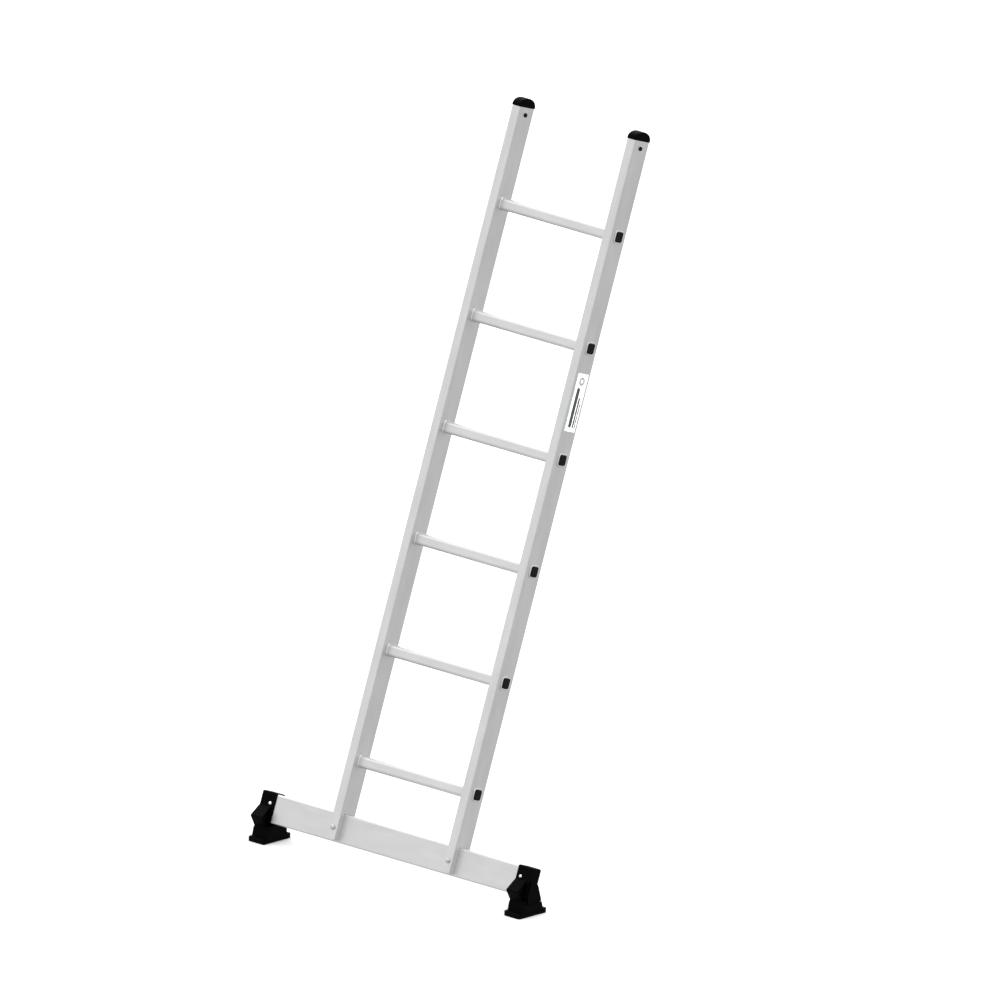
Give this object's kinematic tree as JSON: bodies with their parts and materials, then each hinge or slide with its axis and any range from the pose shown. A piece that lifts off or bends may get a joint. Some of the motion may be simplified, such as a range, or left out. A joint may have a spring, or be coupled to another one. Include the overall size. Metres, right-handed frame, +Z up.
{
  "type": "leaning rung ladder",
  "caption": "Single-section aluminium leaning ladder with square rungs, a wide stabiliser bar across the bottom and black two-way tilting shoes.",
  "frame": {"origin": "on the ground under the middle of the bounding box", "axes": "+X along the rungs to the side with the label, +Y the way the ladder leans, +Z up; the soles stand on Z = 0"},
  "size_m": [0.8856, 0.6397, 1.8256],
  "materials": {
    "rail_aluminium": "extruded, satin, fine lengthwise lines",
    "rung_aluminium": "extruded, satin",
    "bar_aluminium": "extruded, satin, fine lengthwise lines",
    "zinc_steel": "zinc plated",
    "rivet_aluminium": "bright",
    "black_plastic": "moulded, fine grain",
    "plug_plastic": "moulded, matt",
    "sole_rubber": "ribbed, matt",
    "label_film": "printed film, no lettering"
  },
  "bodies": {
    "ladder": {"left_rail": "rail_aluminium", "right_rail": "rail_aluminium", "rung_1": "rung_aluminium", "rung_2": "rung_aluminium", "rung_3": "rung_aluminium", "rung_4": "rung_aluminium", "rung_5": "rung_aluminium", "rung_6": "rung_aluminium", "rung_plug_left_1": "plug_plastic", "rung_plug_left_2": "plug_plastic", "rung_plug_left_3": "plug_plastic", "rung_plug_left_4": "plug_plastic", "rung_plug_left_5": "plug_plastic", "rung_plug_left_6": "plug_plastic", "rung_plug_right_1": "plug_plastic", "rung_plug_right_2": "plug_plastic", "rung_plug_right_3": "plug_plastic", "rung_plug_right_4": "plug_plastic", "rung_plug_right_5": "plug_plastic", "rung_plug_right_6": "plug_plastic", "end_cap_left": "black_plastic", "end_cap_right": "black_plastic", "cap_pin_left": "plug_plastic", "cap_pin_right": "plug_plastic", "stabiliser_bolt_left": "zinc_steel", "stabiliser_bolt_right": "zinc_steel", "stabiliser_washer_left": "zinc_steel", "stabiliser_washer_right": "zinc_steel", "stabiliser_nut_left": "zinc_steel", "stabiliser_nut_right": "zinc_steel", "foot_holder_left": "black_plastic", "foot_holder_right": "black_plastic", "holder_rivet_left": "rivet_aluminium", "holder_rivet_right": "rivet_aluminium", "pitch_pin_left": "zinc_steel", "pitch_pin_right": "zinc_steel", "stabiliser_bar": "bar_aluminium", "info_label": "label_film"},
    "swivel_left": {"swivel_block_left": "black_plastic"},
    "foot_left": {"shoe_left": "black_plastic", "sole_pad_left": "sole_rubber", "roll_pin_left": "zinc_steel"},
    "swivel_right": {"swivel_block_right": "black_plastic"},
    "foot_right": {"shoe_right": "black_plastic", "sole_pad_right": "sole_rubber", "roll_pin_right": "zinc_steel"}
  },
  "joints": [
    {"name": "shoe_pitch_left", "type": "hinge", "parent": "ladder", "child": "swivel_left", "pos_m": [-0.4181, -0.2784, 0.0323], "axis": [1, 0, 0], "range_deg": [-6, 12]},
    {"name": "shoe_roll_left", "type": "hinge", "parent": "swivel_left", "child": "foot_left", "pos_m": [-0.4164, -0.2784, 0.0188], "axis": [0, 1, 0], "range_deg": [-3, 3]},
    {"name": "shoe_pitch_right", "type": "hinge", "parent": "ladder", "child": "swivel_right", "pos_m": [0.4159, -0.2784, 0.0323], "axis": [1, 0, 0], "range_deg": [-6, 12]},
    {"name": "shoe_roll_right", "type": "hinge", "parent": "swivel_right", "child": "foot_right", "pos_m": [0.4176, -0.2784, 0.0188], "axis": [0, 1, 0], "range_deg": [-3, 3]}
  ]
}
